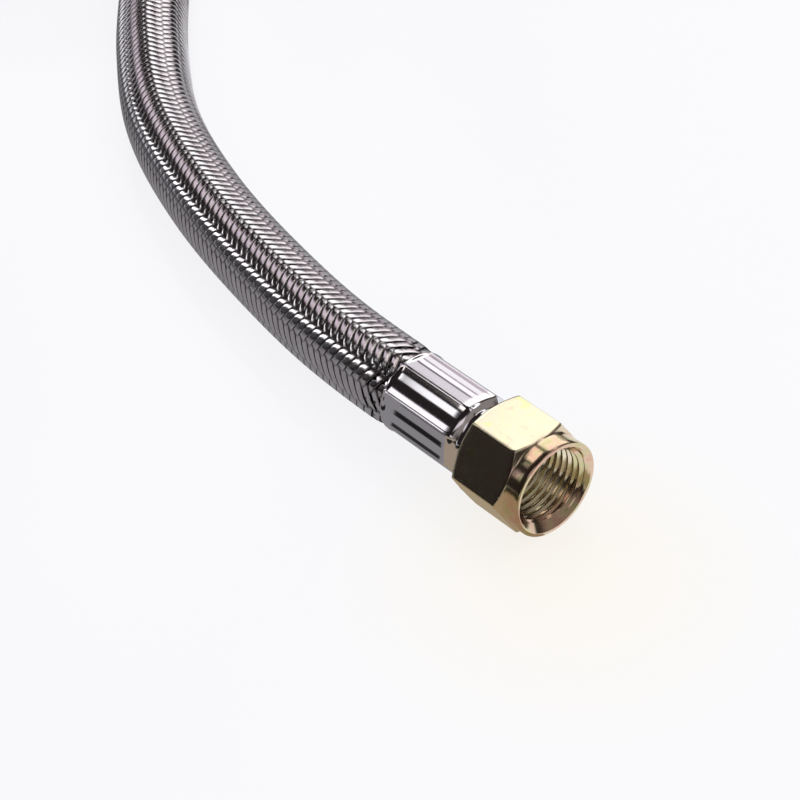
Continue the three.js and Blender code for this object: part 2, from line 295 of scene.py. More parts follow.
def braid_steel():
    """Stainless steel wire, drawn bright and laid flat: hard grey glints, fine lines along it."""
    material, add = new_material("drawn_stainless_wire")
    across, lift = [add("ShaderNodeAttribute", attribute_name=name).outputs["Fac"]
                    for name in ("across", "lift")]
    wire = sizes().strand_width / sizes().wires
    ridge = add(MATHS, (across, math.pi / wire), operation="MULTIPLY")
    ridge = add(MATHS, (ridge,), operation="SINE")
    ridge = add(MATHS, (ridge,), operation="ABSOLUTE")
    ridge = add(MATHS, (ridge, WIRE_RIDGE), operation="MULTIPLY")
    edge = add(MATHS, (across, sizes().strand_width / 2), operation="DIVIDE")
    edge = add(MATHS, (edge,), operation="ABSOLUTE")
    crown = add(MATHS, (edge, edge), operation="MULTIPLY")
    crown = add(MATHS, (crown, -STRAND_CROWN), operation="MULTIPLY")
    height = add(MATHS, (crown, ridge), operation="ADD")
    place = add("ShaderNodeTexCoord").outputs["Object"]
    patch = add("ShaderNodeTexNoise", {"Vector": place, "Scale": 1.0 / (2.5 * MM)})
    tint = add("ShaderNodeValToRGB", (patch,), [(0.35, "#f1eef0"), (0.65, "#ffffff")])
    tint = add(VECTORS, (tuple(finishes().steel), tint), operation="MULTIPLY")
    rough = add("ShaderNodeMapRange", {
        "Value": patch, "From Min": 0.3, "From Max": 0.7, "To Min": 0.10, "To Max": 0.15})
    # Painted shade: the gaps get little light, so a strand is painted darker at its edges
    # and where it goes under.
    lit = add("ShaderNodeMapRange", {
        "Value": lift, "From Min": -0.7, "From Max": 0.5, "To Min": 0.08, "To Max": 1.0})
    edge_shade = add("ShaderNodeMapRange", {
        "Value": edge, "From Min": 0.88, "From Max": 1.0, "To Min": 1.0, "To Max": 0.2},
        interpolation_type="SMOOTHSTEP")
    shade = add(MATHS, (lit, edge_shade), operation="MULTIPLY")
    shaded = add(VECTORS, {0: tint, "Scale": shade}, operation="SCALE")
    finish(add, shaded, rough, height, 1.0, 1.0, Metallic=1.0)
    return material


def tube_rubber():
    """Nitrile rubber tube, extruded: matt black that shows only in the gaps of the braid."""
    material, add = new_material("extruded_black_rubber")
    place = add("ShaderNodeTexCoord").outputs["Object"]
    grain = add("ShaderNodeTexNoise", {"Vector": place, "Scale": 1.0 / (0.3 * MM)})
    finish(add, (*finishes().rubber, 1.0), 0.7, grain, 0.2, 0.02 * MM)
    return material


def plated_zinc():
    """Steel turned on a lathe and zinc plated with a yellow passivate: pale gold with a faint
    play of pink and green, pinker at the near nut's mouth, and fine turning lines."""
    material, add = new_material("yellow_zinc_plated_steel")
    place = add("ShaderNodeTexCoord").outputs["Object"]
    patch = add("ShaderNodeTexNoise", {
        "Vector": place, "Scale": 1.0 / (3.0 * MM), "Detail": 3.0, "Roughness": 0.6})
    tint = add("ShaderNodeValToRGB", (patch,), [
        (0.3, "#f9ebf3"), (0.42, "#fefef8"), (0.55, "#fdfbff"), (0.66, "#f8ffe4")])
    pink = add("ShaderNodeValToRGB", (patch,), [
        (0.35, "#e6c2c4"), (0.5, "#eed8d3"), (0.62, "#dcdbc1")])
    at = add("ShaderNodeSeparateXYZ", (place,)).outputs["X"]
    mouth = add("ShaderNodeMapRange", {
        "Value": at, "From Min": 14.0 * MM, "From Max": 16.5 * MM})
    change = add(VECTORS, (pink, tint), operation="SUBTRACT")
    tint = add(VECTORS, (change, mouth, tint), operation="MULTIPLY_ADD")
    tint = add(VECTORS, (tuple(finishes().zinc), tint), operation="MULTIPLY")
    lines = add("ShaderNodeMapping", {"Vector": place, "Scale": (1.0, 0.08, 0.08)})
    turning = add("ShaderNodeTexNoise", {"Vector": lines, "Scale": 1.0 / (0.12 * MM)})
    speck = add("ShaderNodeTexNoise", {"Vector": place, "Scale": 1.0 / (0.25 * MM)})
    height = add(MATHS, (turning, speck), operation="ADD")
    finish(add, tint, 0.16, height, 0.12, 0.02 * MM, Metallic=1.0)
    return material


def bright_chrome():
    """Steel sleeve with bright chrome plating, pressed in a die: a mirror with faint ripples."""
    material, add = new_material("bright_chrome_plated_steel")
    place = add("ShaderNodeTexCoord").outputs["Object"]
    lines = add("ShaderNodeMapping", {"Vector": place, "Scale": (0.06, 1.0, 1.0)})
    ripple = add("ShaderNodeTexNoise", {
        "Vector": lines, "Scale": 1.0 / (0.5 * MM), "Detail": 1.0})
    finish(add, (*finishes().chrome, 1.0), 0.07, ripple, 0.06, 0.02 * MM, Metallic=1.0)
    return material


def woven_strap():
    """Nylon hook-and-loop strap, woven: dull black with a fine cloth grain."""
    material, add = new_material("woven_nylon_strap")
    place = add("ShaderNodeTexCoord").outputs["Object"]
    weave = add("ShaderNodeTexVoronoi", {"Vector": place, "Scale": 1.0 / (0.5 * MM)})
    tint = add("ShaderNodeValToRGB", (weave,), [(0.0, "#ffffff"), (0.8, "#909294")])
    tint = add(VECTORS, (tuple(finishes().strap), tint), operation="MULTIPLY")
    finish(add, tint, 0.8, weave, 0.5, 0.1 * MM, **{"Sheen Weight": 0.3})
    return material


def linked(name, data):
    """An object with that data, in the scene."""
    item = bpy.data.objects.new(name, data)
    bpy.context.scene.collection.objects.link(item)
    return item


def shown(name, mesh, material, body):
    """A finished piece: its mesh, material and body."""
    piece = linked(name, mesh)
    mesh.materials.clear()
    mesh.materials.append(material)
    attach(piece, body)
    return piece


def ring_mesh(name, rows, sharp, cap):
    """A closed skin over rows of points; equal points are merged and normals face out."""
    rows = np.array(rows, float)
    count, around = rows.shape[:2]
    mesh = bpy.data.meshes.new(name)
    shape = bmesh.new()
    verts = [[shape.verts.new(point) for point in row] for row in rows]
    for j in range(count - 1 if cap else count):
        after = (j + 1) % count
        for i in range(around - 1):
            shape.faces.new((verts[j][i], verts[j][i + 1], verts[after][i + 1], verts[after][i]))
    if cap:
        shape.faces.new(verts[0][:-1])
        shape.faces.new(verts[-1][:-1])
    bmesh.ops.remove_doubles(shape, verts=shape.verts, dist=0.5e-6)
    bmesh.ops.dissolve_degenerate(shape, edges=shape.edges, dist=1e-7)
    bmesh.ops.recalc_face_normals(shape, faces=shape.faces)
    for face in shape.faces:
        face.smooth = True
    shape.to_mesh(mesh)
    shape.free()
    mesh.set_sharp_from_angle(angle=math.radians(sharp))
    return mesh


def skinned(name, rows, material, nodes, sharp=50.0, body="hose", cap=False):
    """A piece with its skin over rows of points, in place of those CAD nodes."""
    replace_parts(shown(name, ring_mesh(name, rows, sharp, cap), material, body), *nodes)


def both_ends(name, rows, material, node, sharp=40.0, body="hose"):
    """That piece at each end of the hose, in place of its CAD node."""
    for tag in "ab":
        skinned(f"{name}_{tag}", placed(rows, tag), material, [f"{node}_{tag}"], sharp,
                body.format(tag))


class HOSE_OT_tube(bpy.types.Operator):
    """Makes the rubber tube inside the braid, and the hose's path"""

    bl_idname = "gas_hose.tube"
    bl_label = "Rubber tube"

    def execute(self, context):
        points, along = hose_middle()
        keep = np.unique(np.r_[np.arange(0, 12), np.arange(12, len(points), 3), len(points) - 1])
        points, along = points[keep], along[keep]
        side, up = side_and_up(points)
        angle = np.linspace(0.0, 2 * math.pi, 33)
        pressed = 1.0 - smooth(np.minimum(along, along[-1] - along) / NECK_REACH)
        radius = sizes().tube_radius - sizes().neck * pressed
        rows = points[:, None] + radius[:, None, None] * (
            side[:, None] * np.cos(angle)[:, None] + up[:, None] * np.sin(angle)[:, None])
        skinned("rubber_tube", rows, tube_rubber(),
                ("hose_run", "hose_coil", "hose_tail"), cap=True)
        return {"FINISHED"}


# The sums of the strands' tree: each row gives a sum's name, its operation and what it works on.
# Over two, under two: the floats of each hand lie in rows along the hose, half the strands' number
# of rows round it, and the other hand's rows lie between them.
STRAND_SUMS = (
    ("share", "DIVIDE", "copy", "Strands"),
    ("distance", "ADD", "length", "Start"),
    ("wound", "MULTIPLY", "distance", "Turn per metre"),
    ("wound", "MULTIPLY", "wound", "Hand"),
    ("lap", "ADD", "share", "wound"),
    ("lap", "MULTIPLY", "lap", 2 * math.pi),
    ("angle", "ADD", "lap", BRAID_TURN),
    ("cosine", "COSINE", "angle"),
    ("sine", "SINE", "angle"),
    ("rows", "DIVIDE", "Strands", 2.0),
    ("swing", "MULTIPLY", "lap", "rows"),
    ("swing", "SUBTRACT", "swing", math.pi / 4),
    ("swing", "COSINE", "swing"),
    ("swing", "MULTIPLY", "swing", WEAVE_SQUARE),
    ("swing", "MINIMUM", "swing", 1.0),
    ("swing", "MAXIMUM", "swing", -1.0),
    ("lift", "MULTIPLY", "swing", "Hand"),
    ("swing", "MULTIPLY", "lift", "Weave"),
    ("raised", "ADD", "Radius", "swing"),
    ("to_end", "SUBTRACT", "Whole length", "distance"),
    ("to_end", "MINIMUM", "distance", "to_end"),
    ("crown", "ABSOLUTE", "x"),
    ("crown", "POWER", "crown", SECTION_CROWN),
    ("sign", "SIGN", "x"),
    ("crown", "MULTIPLY", "crown", "sign"),
    ("half", "DIVIDE", "Thickness", 2.0),
    ("thick", "MULTIPLY", "crown", "half"),
    ("half", "DIVIDE", "Width", 2.0),
    ("wide", "MULTIPLY", "y", "half"),
)


def strand_tree(material):
    """The tree that winds strands round a path. Its sizes are inputs of the modifier."""
    tree = bpy.data.node_groups.new("braid_strands", "GeometryNodeTree")
    face = tree.interface
    face.new_socket("Geometry", in_out="INPUT", socket_type="NodeSocketGeometry")
    for name in ("Strands", "Profile points"):
        face.new_socket(name, in_out="INPUT", socket_type="NodeSocketInt")
    for name in ("Hand", "Turn per metre", "Radius", "Weave", "Width", "Thickness", "Step",
                 "Start", "Whole length", "Neck"):
        face.new_socket(name, in_out="INPUT", socket_type="NodeSocketFloat")
    face.new_socket("Geometry", in_out="OUTPUT", socket_type="NodeSocketGeometry")
    add = partial(add_node, tree)
    given = add("NodeGroupInput").outputs
    upright = add("GeometryNodeSetCurveNormal", {"Curve": given["Geometry"]}, mode="Z_UP")
    fine = add("GeometryNodeResampleCurve", {
        "Curve": upright, "Length": given["Step"]}, mode="LENGTH")
    copies = add("GeometryNodeDuplicateElements", {
        "Geometry": fine, "Amount": given["Strands"]}, domain="SPLINE")
    place = add("ShaderNodeSeparateXYZ", (add("GeometryNodeInputPosition"),)).outputs
    known = {socket.name: socket for socket in given}
    known.update(copy=copies.outputs["Duplicate Index"], x=place["X"], y=place["Y"],
                 length=add("GeometryNodeSplineParameter").outputs["Length"])
    for name, operation, *values in STRAND_SUMS:
        known[name] = add(MATHS, [known.get(value, value) for value in values],
                          operation=operation)
    pressed = add("ShaderNodeMapRange", {
        "Value": known["to_end"], "From Min": 0.0, "From Max": NECK_REACH,
        "To Min": given["Neck"], "To Max": 0.0}, interpolation_type="SMOOTHSTEP")
    radius = add(MATHS, (known["raised"], pressed), operation="SUBTRACT")
    side = add("GeometryNodeInputNormal").outputs["Normal"]
    tangent = add("GeometryNodeInputTangent")
    up = add(VECTORS, (tangent, side), operation="CROSS_PRODUCT")
    outward = add(VECTORS, [
        add(VECTORS, {0: vector, "Scale": known[name]}, operation="SCALE")
        for vector, name in ((side, "cosine"), (up, "sine"))], operation="ADD")
    kept = add("GeometryNodeCaptureAttribute", {
        "Geometry": copies.outputs["Geometry"]}, domain="POINT")
    for kind, item, node in (
            ("VECTOR", "outward", outward), ("FLOAT", "lift", known["lift"])):
        kept.capture_items.new(kind, item)
        tree.links.new(node.outputs[0], kept.inputs[item])
    moved = add("GeometryNodeSetPosition", {
        "Geometry": kept.outputs["Geometry"],
        "Offset": add(VECTORS, {0: outward, "Scale": radius}, operation="SCALE")})
    faced = add("GeometryNodeSetCurveNormal", {
        "Curve": moved, "Normal": kept.outputs["outward"]}, mode="FREE")
    strands = add("GeometryNodeStoreNamedAttribute", {
        "Geometry": faced, "Name": "lift", "Value": kept.outputs["lift"]}, domain="POINT")

    # A crowned flat section: its first axis is the thickness and its second the width.
    circle = add("GeometryNodeCurvePrimitiveCircle", {
        "Resolution": given["Profile points"], "Radius": 1.0})
    section = add("GeometryNodeSetPosition", {
        "Geometry": circle.outputs["Curve"],
        "Position": add("ShaderNodeCombineXYZ", {"X": known["thick"], "Y": known["wide"]})})
    section = add("GeometryNodeStoreNamedAttribute", {
        "Geometry": section, "Name": "across", "Value": place["Y"]}, domain="POINT")
    solid = add("GeometryNodeCurveToMesh", {
        "Curve": strands, "Profile Curve": section, "Fill Caps": True})
    soft = add("GeometryNodeSetShadeSmooth", {"Geometry": solid})
    real = add("GeometryNodeRealizeInstances", {"Geometry": soft})
    dressed = add("GeometryNodeSetMaterial", {"Geometry": real, "Material": material})
    add("NodeGroupOutput", {"Geometry": dressed})
    return tree


def along_path(name, points):
    """A poly curve through the points."""
    curve = bpy.data.curves.new(name, "CURVE")
    curve.dimensions = "3D"
    spline = curve.splines.new("POLY")
    spline.points.add(len(points) - 1)
    spline.points.foreach_set("co", np.c_[points, np.ones(len(points))].ravel())
    return linked(name, curve)


def outward_mesh(mesh):
    """Turns a closed mesh right side out if its volume is negative."""
    shape = bmesh.new()
    shape.from_mesh(mesh)
    if shape.calc_volume(signed=True) < 0:
        bmesh.ops.reverse_faces(shape, faces=shape.faces)
        shape.to_mesh(mesh)
    shape.free()
    return mesh


def grown(path, tree, values):
    """The plain mesh that the tree makes of the path with these inputs. The path is removed."""
    modifier = path.modifiers.new("strands", "NODES")
    modifier.node_group = tree
    for item in tree.interface.items_tree:
        if item.in_out == "INPUT" and item.name in values:
            modifier[item.identifier] = values[item.name]
    graph = bpy.context.evaluated_depsgraph_get()
    mesh = bpy.data.meshes.new_from_object(path.evaluated_get(graph), depsgraph=graph)
    bpy.data.objects.remove(path)
    return outward_mesh(mesh)


class HOSE_OT_braid(bpy.types.Operator):
    """Winds the wire strands round the hose, two over and two under"""

    bl_idname = "gas_hose.braid"
    bl_label = "Wire braid"

    def execute(self, context):
        size = sizes()
        material = braid_steel()
        tree = strand_tree(material)
        points, along = hose_middle()
        whole = float(along[-1])
        middle = size.radius - size.weave - size.strand_thickness / 2
        # The coil's braid has one point to a crossing, so its stretches are whole crossings long.
        crossings = round(whole * math.tan(size.lay_angle) / (math.pi * middle) * size.strands)
        crossing = whole / crossings
        turn = 1 / (2 * size.strands * crossing)
        seen = round(SEEN_LENGTH * MM / crossing)
        half = (seen + crossings) // 2
        stretches = (
            ("seen", 0.0, seen * crossing, 0.42 * MM, 12),
            ("coil_low", seen * crossing, half * crossing, crossing, 8),
            ("coil_high", half * crossing, whole, crossing, 8),
        )
        for label, start, end, step, profile in stretches:
            inside = (along > start) & (along < end)
            wanted = np.r_[start, along[inside], end]
            stretch = np.stack([np.interp(wanted, along, points[:, k]) for k in range(3)], axis=1)
            for hand, way in ((1, "right"), (-1, "left")):
                name = f"braid_{way}_{label}"
                mesh = grown(along_path(name + "_path", stretch), tree, {
                    "Strands": size.strands, "Hand": float(hand), "Turn per metre": turn,
                    "Radius": middle, "Weave": size.weave, "Width": size.strand_width,
                    "Thickness": size.strand_thickness, "Step": step, "Start": float(start),
                    "Whole length": whole, "Neck": size.neck, "Profile points": profile})
                mesh.name = name
                shown(name, mesh, material, "hose")
        bpy.data.node_groups.remove(tree)
        return {"FINISHED"}


def placed(rows, tag):
    """Points given as (distance back from the mouth, y, z) in mm, put at that end, in metres."""
    rows = np.array(rows, float)
    back, y, z = rows[..., 0], rows[..., 1], rows[..., 2]
    if tag == "a":
        made = np.stack([FITTING_LENGTH / 2 - back, y, AXIS_HEIGHT + z], axis=-1)
    else:
        mouth = COIL_CENTRE[0] - TAIL_LENGTH - FITTING_LENGTH
        made = np.stack([mouth + back, COIL_CENTRE[1] + COIL_RADIUS - y, FAR_HEIGHT + z], axis=-1)
    return made * MM


def turned_rows(profile, angles):
    """Rows of points round the axis from (back, radius) pairs, each a number or an array."""
    rows = []
    for back, radius in profile:
        radius = np.broadcast_to(radius, angles.shape)
        back = np.broadcast_to(back, angles.shape)
        rows.append(np.stack([back, radius * np.cos(angles), radius * np.sin(angles)], axis=1))
    return rows


def hexagon(angles, flat, fillet):
    """Radius of a hexagon with rounded corners, and the angle that its rounding takes."""
    corner = flat / math.cos(math.pi / 6)
    centre = corner - fillet / math.cos(math.pi / 6)
    limit = math.atan2(fillet * 0.5, centre + fillet * math.cos(math.pi / 6))
    off = np.abs((angles + math.pi / 6) % (math.pi / 3) - math.pi / 6)
    rounded = centre * np.cos(off) + np.sqrt(np.maximum(
        fillet ** 2 - (centre * np.sin(off)) ** 2, 0.0))
    return np.where(off < limit, rounded, flat / np.cos(math.pi / 6 - off)), limit


def nut_angles(limit):
    """Angles round the nut, closer together at its corners."""
    half = np.radians(30.0)
    share = np.r_[0.0, limit * np.array([0.4, 0.75, 1.0, 1.6, 2.8]),
                  np.linspace(limit * 4.2, half, 9)]
    sector = np.r_[-share[:0:-1], share[:-1]]
    angles = np.concatenate([sector + i * math.pi / 3 for i in range(6)])
    return np.r_[angles, angles[0] + 2 * math.pi]


THREAD_SHAPE = ((0.02, 0.0), (0.125, -0.02), (0.23, 0.0), (0.27, 0.06), (0.54, 0.94),
                (0.59, 1.0), (0.66, 1.0), (0.71, 0.94), (0.98, 0.06))


def nut_rows():
    """Points of the swivel nut in mm: outside from the mouth back, then its bore and thread."""
    size = fitting()
    flat, length = size.across_flats / MM / 2, size.nut_length / MM
    pitch, major = size.thread_pitch / MM, size.thread_major / MM
    minor = major - THREAD_DEPTH * pitch
    collar, back_radius, mouth = flat - 0.05, flat - 0.6, 8.7
    slope = math.tan(math.pi / 6)
    _, limit = hexagon(np.zeros(1), flat, NUT_FILLET)
    angles = nut_angles(limit)
    hexed, _ = hexagon(angles, flat, NUT_FILLET)
    rise = hexed - collar
    front = 3.5 + rise * slope
    cut = np.minimum(0.2, 0.45 * rise)
    rear = length - (hexed - back_radius) * slope
    outer = [
        (0.0, mouth + 0.05), (0.0, collar - 0.3), (0.05, collar - 0.14), (0.14, collar - 0.05),
        (0.3, collar), (1.2, collar), (2.3, collar), (3.3, collar), (3.5, collar + 0.02 * rise),
        *[(3.5 + share * rise * slope, collar + share * rise) for share in (0.2, 0.6)],
        (front - cut * slope, hexed - cut),
        (front + 0.02, hexed - 0.22 * cut),
        (front + cut, hexed),
        (front + cut + 0.5, hexed), (0.5 * (front + rear), hexed), (rear - 0.75, hexed),
        (rear - 0.25, hexed), (rear, hexed - 0.05), (rear + 0.15, hexed - 0.26),
        (length - 0.35, back_radius + 0.6), (length - 0.08, back_radius + 0.12),
        (length, back_radius - 0.15), (length, 7.5), (length, 6.0), (length, 5.7),
        (length - 0.2, 5.5), (13.9, 5.5), (NUT_LEDGE, 5.5), (NUT_LEDGE, 6.6),
    ]
    end = mouth - minor + 7 * pitch
    bore = []
    turn = (angles - angles[0]) / (2 * math.pi)
    for k in range(-1, math.ceil(NUT_LEDGE / pitch) + 1):
        for share, depth in THREAD_SHAPE:
            back = (k + share + turn) * pitch
            radius = np.maximum(minor + depth * (major - minor), mouth - back)
            radius = np.where(back > end, np.maximum(radius, np.minimum(
                minor + (back - end) * 1.7, major)), radius)
            back = np.clip(back, 0.0, NUT_LEDGE)
            radius = np.where(back <= 0.0, mouth, radius)
            radius = np.where(back >= NUT_LEDGE, major, radius)
            bore.append((back, radius))
    return turned_rows(outer, angles) + turned_rows(bore, angles)[::-1]


class HOSE_OT_nuts(bpy.types.Operator):
    """Turns and threads the two swivel nuts"""

    bl_idname = "gas_hose.nuts"
    bl_label = "Swivel nuts"

    def execute(self, context):
        both_ends("plated_nut", nut_rows(), plated_zinc(), "swivel_nut", 60.0, "nut_{}")
        return {"FINISHED"}


def crimp_radius(angles):
    """Radius of the crimped sleeve: flat arcs that meet in narrow rounded ridges."""
    ridge = fitting().ridge_radius / MM
    half_angle = math.pi / fitting().lands
    half = ridge * math.sin(half_angle)
    offset = ridge * math.cos(half_angle) - math.sqrt(LAND_CURVE ** 2 - half ** 2)
    off = (angles - CRIMP_TURN) % (2 * half_angle) - half_angle
    land = offset * np.cos(off) + np.sqrt(LAND_CURVE ** 2 - (offset * np.sin(off)) ** 2)
    to_ridge = (half_angle - np.abs(off)) * ridge
    return land + 0.10 * np.exp(-(to_ridge / 0.22) ** 2)


def ferrule_angles():
    """Angles round the ferrule, closer together at its ridges."""
    size = fitting()
    half_angle = math.pi / size.lands
    share = half_angle - np.array([0.0, 0.1, 0.2, 0.32, 0.5, 0.8, 1.2, 1.8, 2.4, 3.26]) \
        / (size.ridge_radius / MM)
    share[-1] = 0.0
    sector = np.r_[share[1:], -share[-2::-1]][::-1]
    angles = np.concatenate([
        sector + CRIMP_TURN + half_angle + 2 * half_angle * i for i in range(size.lands)])
    return np.r_[angles, angles[0] + 2 * math.pi]


def ferrule_rows():
    """Points of the crimped ferrule in mm, from its collar back to its bell, then its bore."""
    angles = ferrule_angles()
    crimp = crimp_radius(angles)
    front, end = 17.1, FITTING_LENGTH
    rise = crimp - 7.0
    outer = [
        (front, 6.0), (front, 6.75), (front + 0.08, 6.92), (front + 0.25, 7.0),
        *[(front + back, 7.0 + share * rise) for back, share in (
            (1.1, 0.0), (1.4, 0.03), (1.65, 0.2), (2.1, 0.62), (2.5, 0.87), (2.9, 0.98),
            (3.4, 1.0))],
    ]
    outer += [(back, crimp) for back in np.linspace(front + 5.0, end - 3.4, 7)]
    for back in (3.0, 2.5, 2.0, 1.5, 1.1, 0.7, 0.4):
        flare = 7.55 + 0.85 * (1 - back / 3.0) ** 1.5
        outer.append((end - back, np.maximum(crimp, flare) * 0.55 + 0.45 * np.logaddexp(
            crimp * 12, flare * 12) / 12))
    lip = outer[-1][1]
    outer += [(end - 0.15, lip - 0.02), (end, lip - 0.12), (end, lip - 0.3),
              (end - 0.1, 7.95), (end - 0.6, 7.6), (end - 1.2, 7.3), (end - 2.5, 7.1),
              (19.4, 7.1), (18.6, 6.3), (18.6, 4.75), (front, 4.75)]
    return turned_rows(outer, angles)


class HOSE_OT_ferrules(bpy.types.Operator):
    """Presses the two crimped ferrules"""

    bl_idname = "gas_hose.ferrules"
    bl_label = "Crimped ferrules"

    def execute(self, context):
        both_ends("crimp_ferrule", ferrule_rows(), bright_chrome(), "ferrule")
        return {"FINISHED"}


def stem_rows():
    """Points of the flare stem in mm: seat, neck through the nut, barbed tail and bore."""
    angles = np.linspace(0.0, 2 * math.pi, 97)
    tail, tip, barbs = 20.1, FITTING_LENGTH - 1.5, 4
    barb = (tip - 1 - tail) / barbs
    profile = [
        (9.28, 3.5), (9.13, 3.7), (9.16, 3.9), (9.3, 4.15), (11.9, 6.75), (12.05, 6.85),
        (12.25, 6.87), (12.95, 6.87), (13.104, 6.7), (13.104, 5.35), (13.3, 5.2),
        (16.8, 5.2), (16.8, 4.45), (18.9, 4.45), (18.9, 4.65), (tail, 4.65),
    ]
    for i in range(barbs):
        profile += [(tail + i * barb + 0.01, 4.25), (tail + (i + 0.3) * barb, 4.65)]
    profile += [(tail + barbs * barb, 4.25), (tip, 3.95), (tip, 3.3), (9.6, 3.3)]
    return turned_rows(profile, angles)


class HOSE_OT_stems(bpy.types.Operator):
    """Turns the two flare stems"""

    bl_idname = "gas_hose.stems"
    bl_label = "Flare stems"

    def execute(self, context):
        plated = bpy.data.materials["yellow_zinc_plated_steel"]
        both_ends("flare_stem", stem_rows(), plated, "tail_stem")
        return {"FINISHED"}


class HOSE_OT_layers(bpy.types.Operator):
    """Dresses the ends of the rubber tube and the braid inside the ferrules"""

    bl_idname = "gas_hose.layers"
    bl_label = "Layers in the ferrules"

    def execute(self, context):
        rubber = bpy.data.materials["extruded_black_rubber"]
        steel = bpy.data.materials["drawn_stainless_wire"]
        for tag in "ab":
            for node, material in ((f"liner_end_{tag}", rubber), (f"braid_end_{tag}", steel)):
                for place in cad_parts[node].material_slots:
                    place.material = material
        return {"FINISHED"}


def strap_rows(angle):
    """Points of one tie strap in metres: a band wrapped round the two stacked turns."""
    radius = sizes().radius / MM
    low, high = TIE_LIFT + radius, TIE_LIFT + 3 * radius + LAYER_GAP
    bend = np.radians(np.arange(0.0, 181.0, 9.0))
    edge = STRAP_WIDTH / 2
    section = [(edge, TIE_WALL), (edge - 0.25, TIE_WALL), (0.25 - edge, TIE_WALL),
               (-edge, TIE_WALL), (-edge, 0.0), (edge, 0.0)]
    turn = math.radians(angle)
    outward = np.array([math.cos(turn), math.sin(turn), 0.0])
    forward = np.array([-math.sin(turn), math.cos(turn), 0.0])
    middle = np.array([*COIL_CENTRE, 0.0]) + COIL_RADIUS * outward
    rows = []
    for across, lift in section:
        out = radius + 0.1 + lift
        ring = [(out * math.cos(b), high + out * math.sin(b)) for b in bend]
        ring += [(-out * math.cos(b), low - out * math.sin(b)) for b in bend]
        rows.append([middle + x * outward + across * forward + (0, 0, z)
                     for x, z in ring + ring[:1]])
    return np.array(rows) * MM


class HOSE_OT_ties(bpy.types.Operator):
    """Wraps the two straps round the coil"""

    bl_idname = "gas_hose.ties"
    bl_label = "Tie straps"

    def execute(self, context):
        material = woven_strap()
        for number, angle in enumerate(TIE_ANGLES, start=1):
            skinned(f"tie_strap_{number}", strap_rows(angle), material,
                    [f"coil_tie_{number}"], 45.0)
        return {"FINISHED"}


# What the metal reflects of the studio, as soft glows on dark walls: azimuth and elevation of the
# middle, half width and half height in degrees, soft edge, strength, colour.
PANELS = (
    (60.0, 56.0, 55.0, 4.0, 5.0, 1.6, "#ffffff"),
    (300.0, 48.0, 30.0, 8.0, 8.0, 0.7, "#fff8fc"),
    (20.0, 35.0, 75.0, 18.0, 20.0, 0.25, "#fff6ec"),
)
WALL_GLOW = (0.019, 0.015, 0.015)

# Each light box is given by what it lights: from where to where back from the near mouth in mm,
# between which angles round the hose from its top to its front, then soft edge, strength, colour.
LIGHT_BOXES = (
    ("nut_top", -80, 17, -17, 7, 1.5, 1.5, "#fffcf8"),
    ("nut_streak", -16, 16, 12.5, 27, 2, 2, "#fff6ee"),
    ("ferrule_top_1", 18, 36.5, -15.8, -10.9, 0.7, 1.2, "#fdfafc"),
    ("ferrule_top_2", 18, 36.5, -8.9, -5.5, 0.7, 1.35, "#fdfafc"),
    ("ferrule_top_3", 18, 36.5, -3, 5.5, 1, 0.9, "#fdf8fc"),
    ("ferrule_wedge", 12, 34, 30.6, 35.4, 0.5, 1.4, "#ffffff"),
    ("ferrule_band", 10, 37.5, 44, 51, 0.6, 1.4, "#fffaff"),
    ("braid_back", 38.5, 240, -34, -6, 3, 0.66, "#fbeaf3"),
    ("braid_top", 38.5, 75, -6, 7, 1.5, 2.2, "#ffffff"),
    ("braid_top_far", 79, 240, -3, 4, 1.5, 2.2, "#ffffff"),
    ("braid_ovals", 38.5, 240, 19.5, 26, 2.5, 0.85, "#f8e9f2"),
    ("braid_row", 37.5, 240, 44, 47, 0.8, 3.2, "#ffffff"),
    ("braid_front", 38.5, 240, 52, 57, 2, 0.07, "#eef2fa"),
)
# Cards on the floor, given the same way: grey, tan and dark glowing sheets that only
# reflections see, a painted shadow of the floor round the hose and nut. The one listed last
# lies on top.
SHADE_CARDS = (
    ("grey_front", 14, 240, 61, 128, 0.5, 0.30, "#f8f5f8"),
    ("grey_back", 17, 240, -62, -31, 4, 0.36, "#f8f5f8"),
    ("nut_dark", -130, 18.5, 61, 70, 0.5, 0.03, "#f0dcc0"),
    ("tan_front", -130, 18.5, 70, 128, 0.5, 0.45, "#f0dcc0"),
    ("dark_front", 38.5, 240, 61, 63, 5, 0.10, "#eef2fa"),
    ("black_upper", 21, 34, 75.9, 80.6, 0.4, 0.015, "#fbf2f8"),
    ("black_lower", 21, 34, 89.8, 113, 0.4, 0.03, "#fbf2f8"),
)


def mirrored(back, angle, height, reach):
    """Where the hose, that far from its near mouth and turned so far, mirrors the camera: on the
    floor at that height or else at that reach, in mm."""
    start = (FITTING_LENGTH / 2 + LINE_AHEAD, 0.0, AXIS_HEIGHT)
    line = np.concatenate([[start], through(ROUTE, 1.0)])
    far = np.r_[0.0, np.cumsum(np.linalg.norm(np.diff(line, axis=0), axis=1))] - LINE_AHEAD
    middle, ahead = [np.array([np.interp(at, far, line[:, k]) for k in range(3)])
                     for at in (back, back + 1.0)]
    tangent = (ahead - middle) / np.linalg.norm(ahead - middle)
    front = np.array([-tangent[1], tangent[0], 0.0])
    turn = math.radians(angle)
    normal = math.cos(turn) * np.cross(tangent, front) + math.sin(turn) * front
    point = middle + MIRROR_RADIUS * normal
    ray = point - np.array(CAMERA_PLACE)
    ray /= np.linalg.norm(ray)
    ray -= 2 * (ray @ normal) * normal
    if height is None:
        return point + reach * ray
    landed = point + (height - point[2]) / min(ray[2], FLATTEST_RAY) * ray
    return np.array([landed[0], landed[1], height])


def glowing(name, glow):
    """A material that gives out that glow."""
    material, add = new_material(name)
    add("ShaderNodeOutputMaterial", (add("ShaderNodeEmission", (glow(add), 1.0)),))
    return material


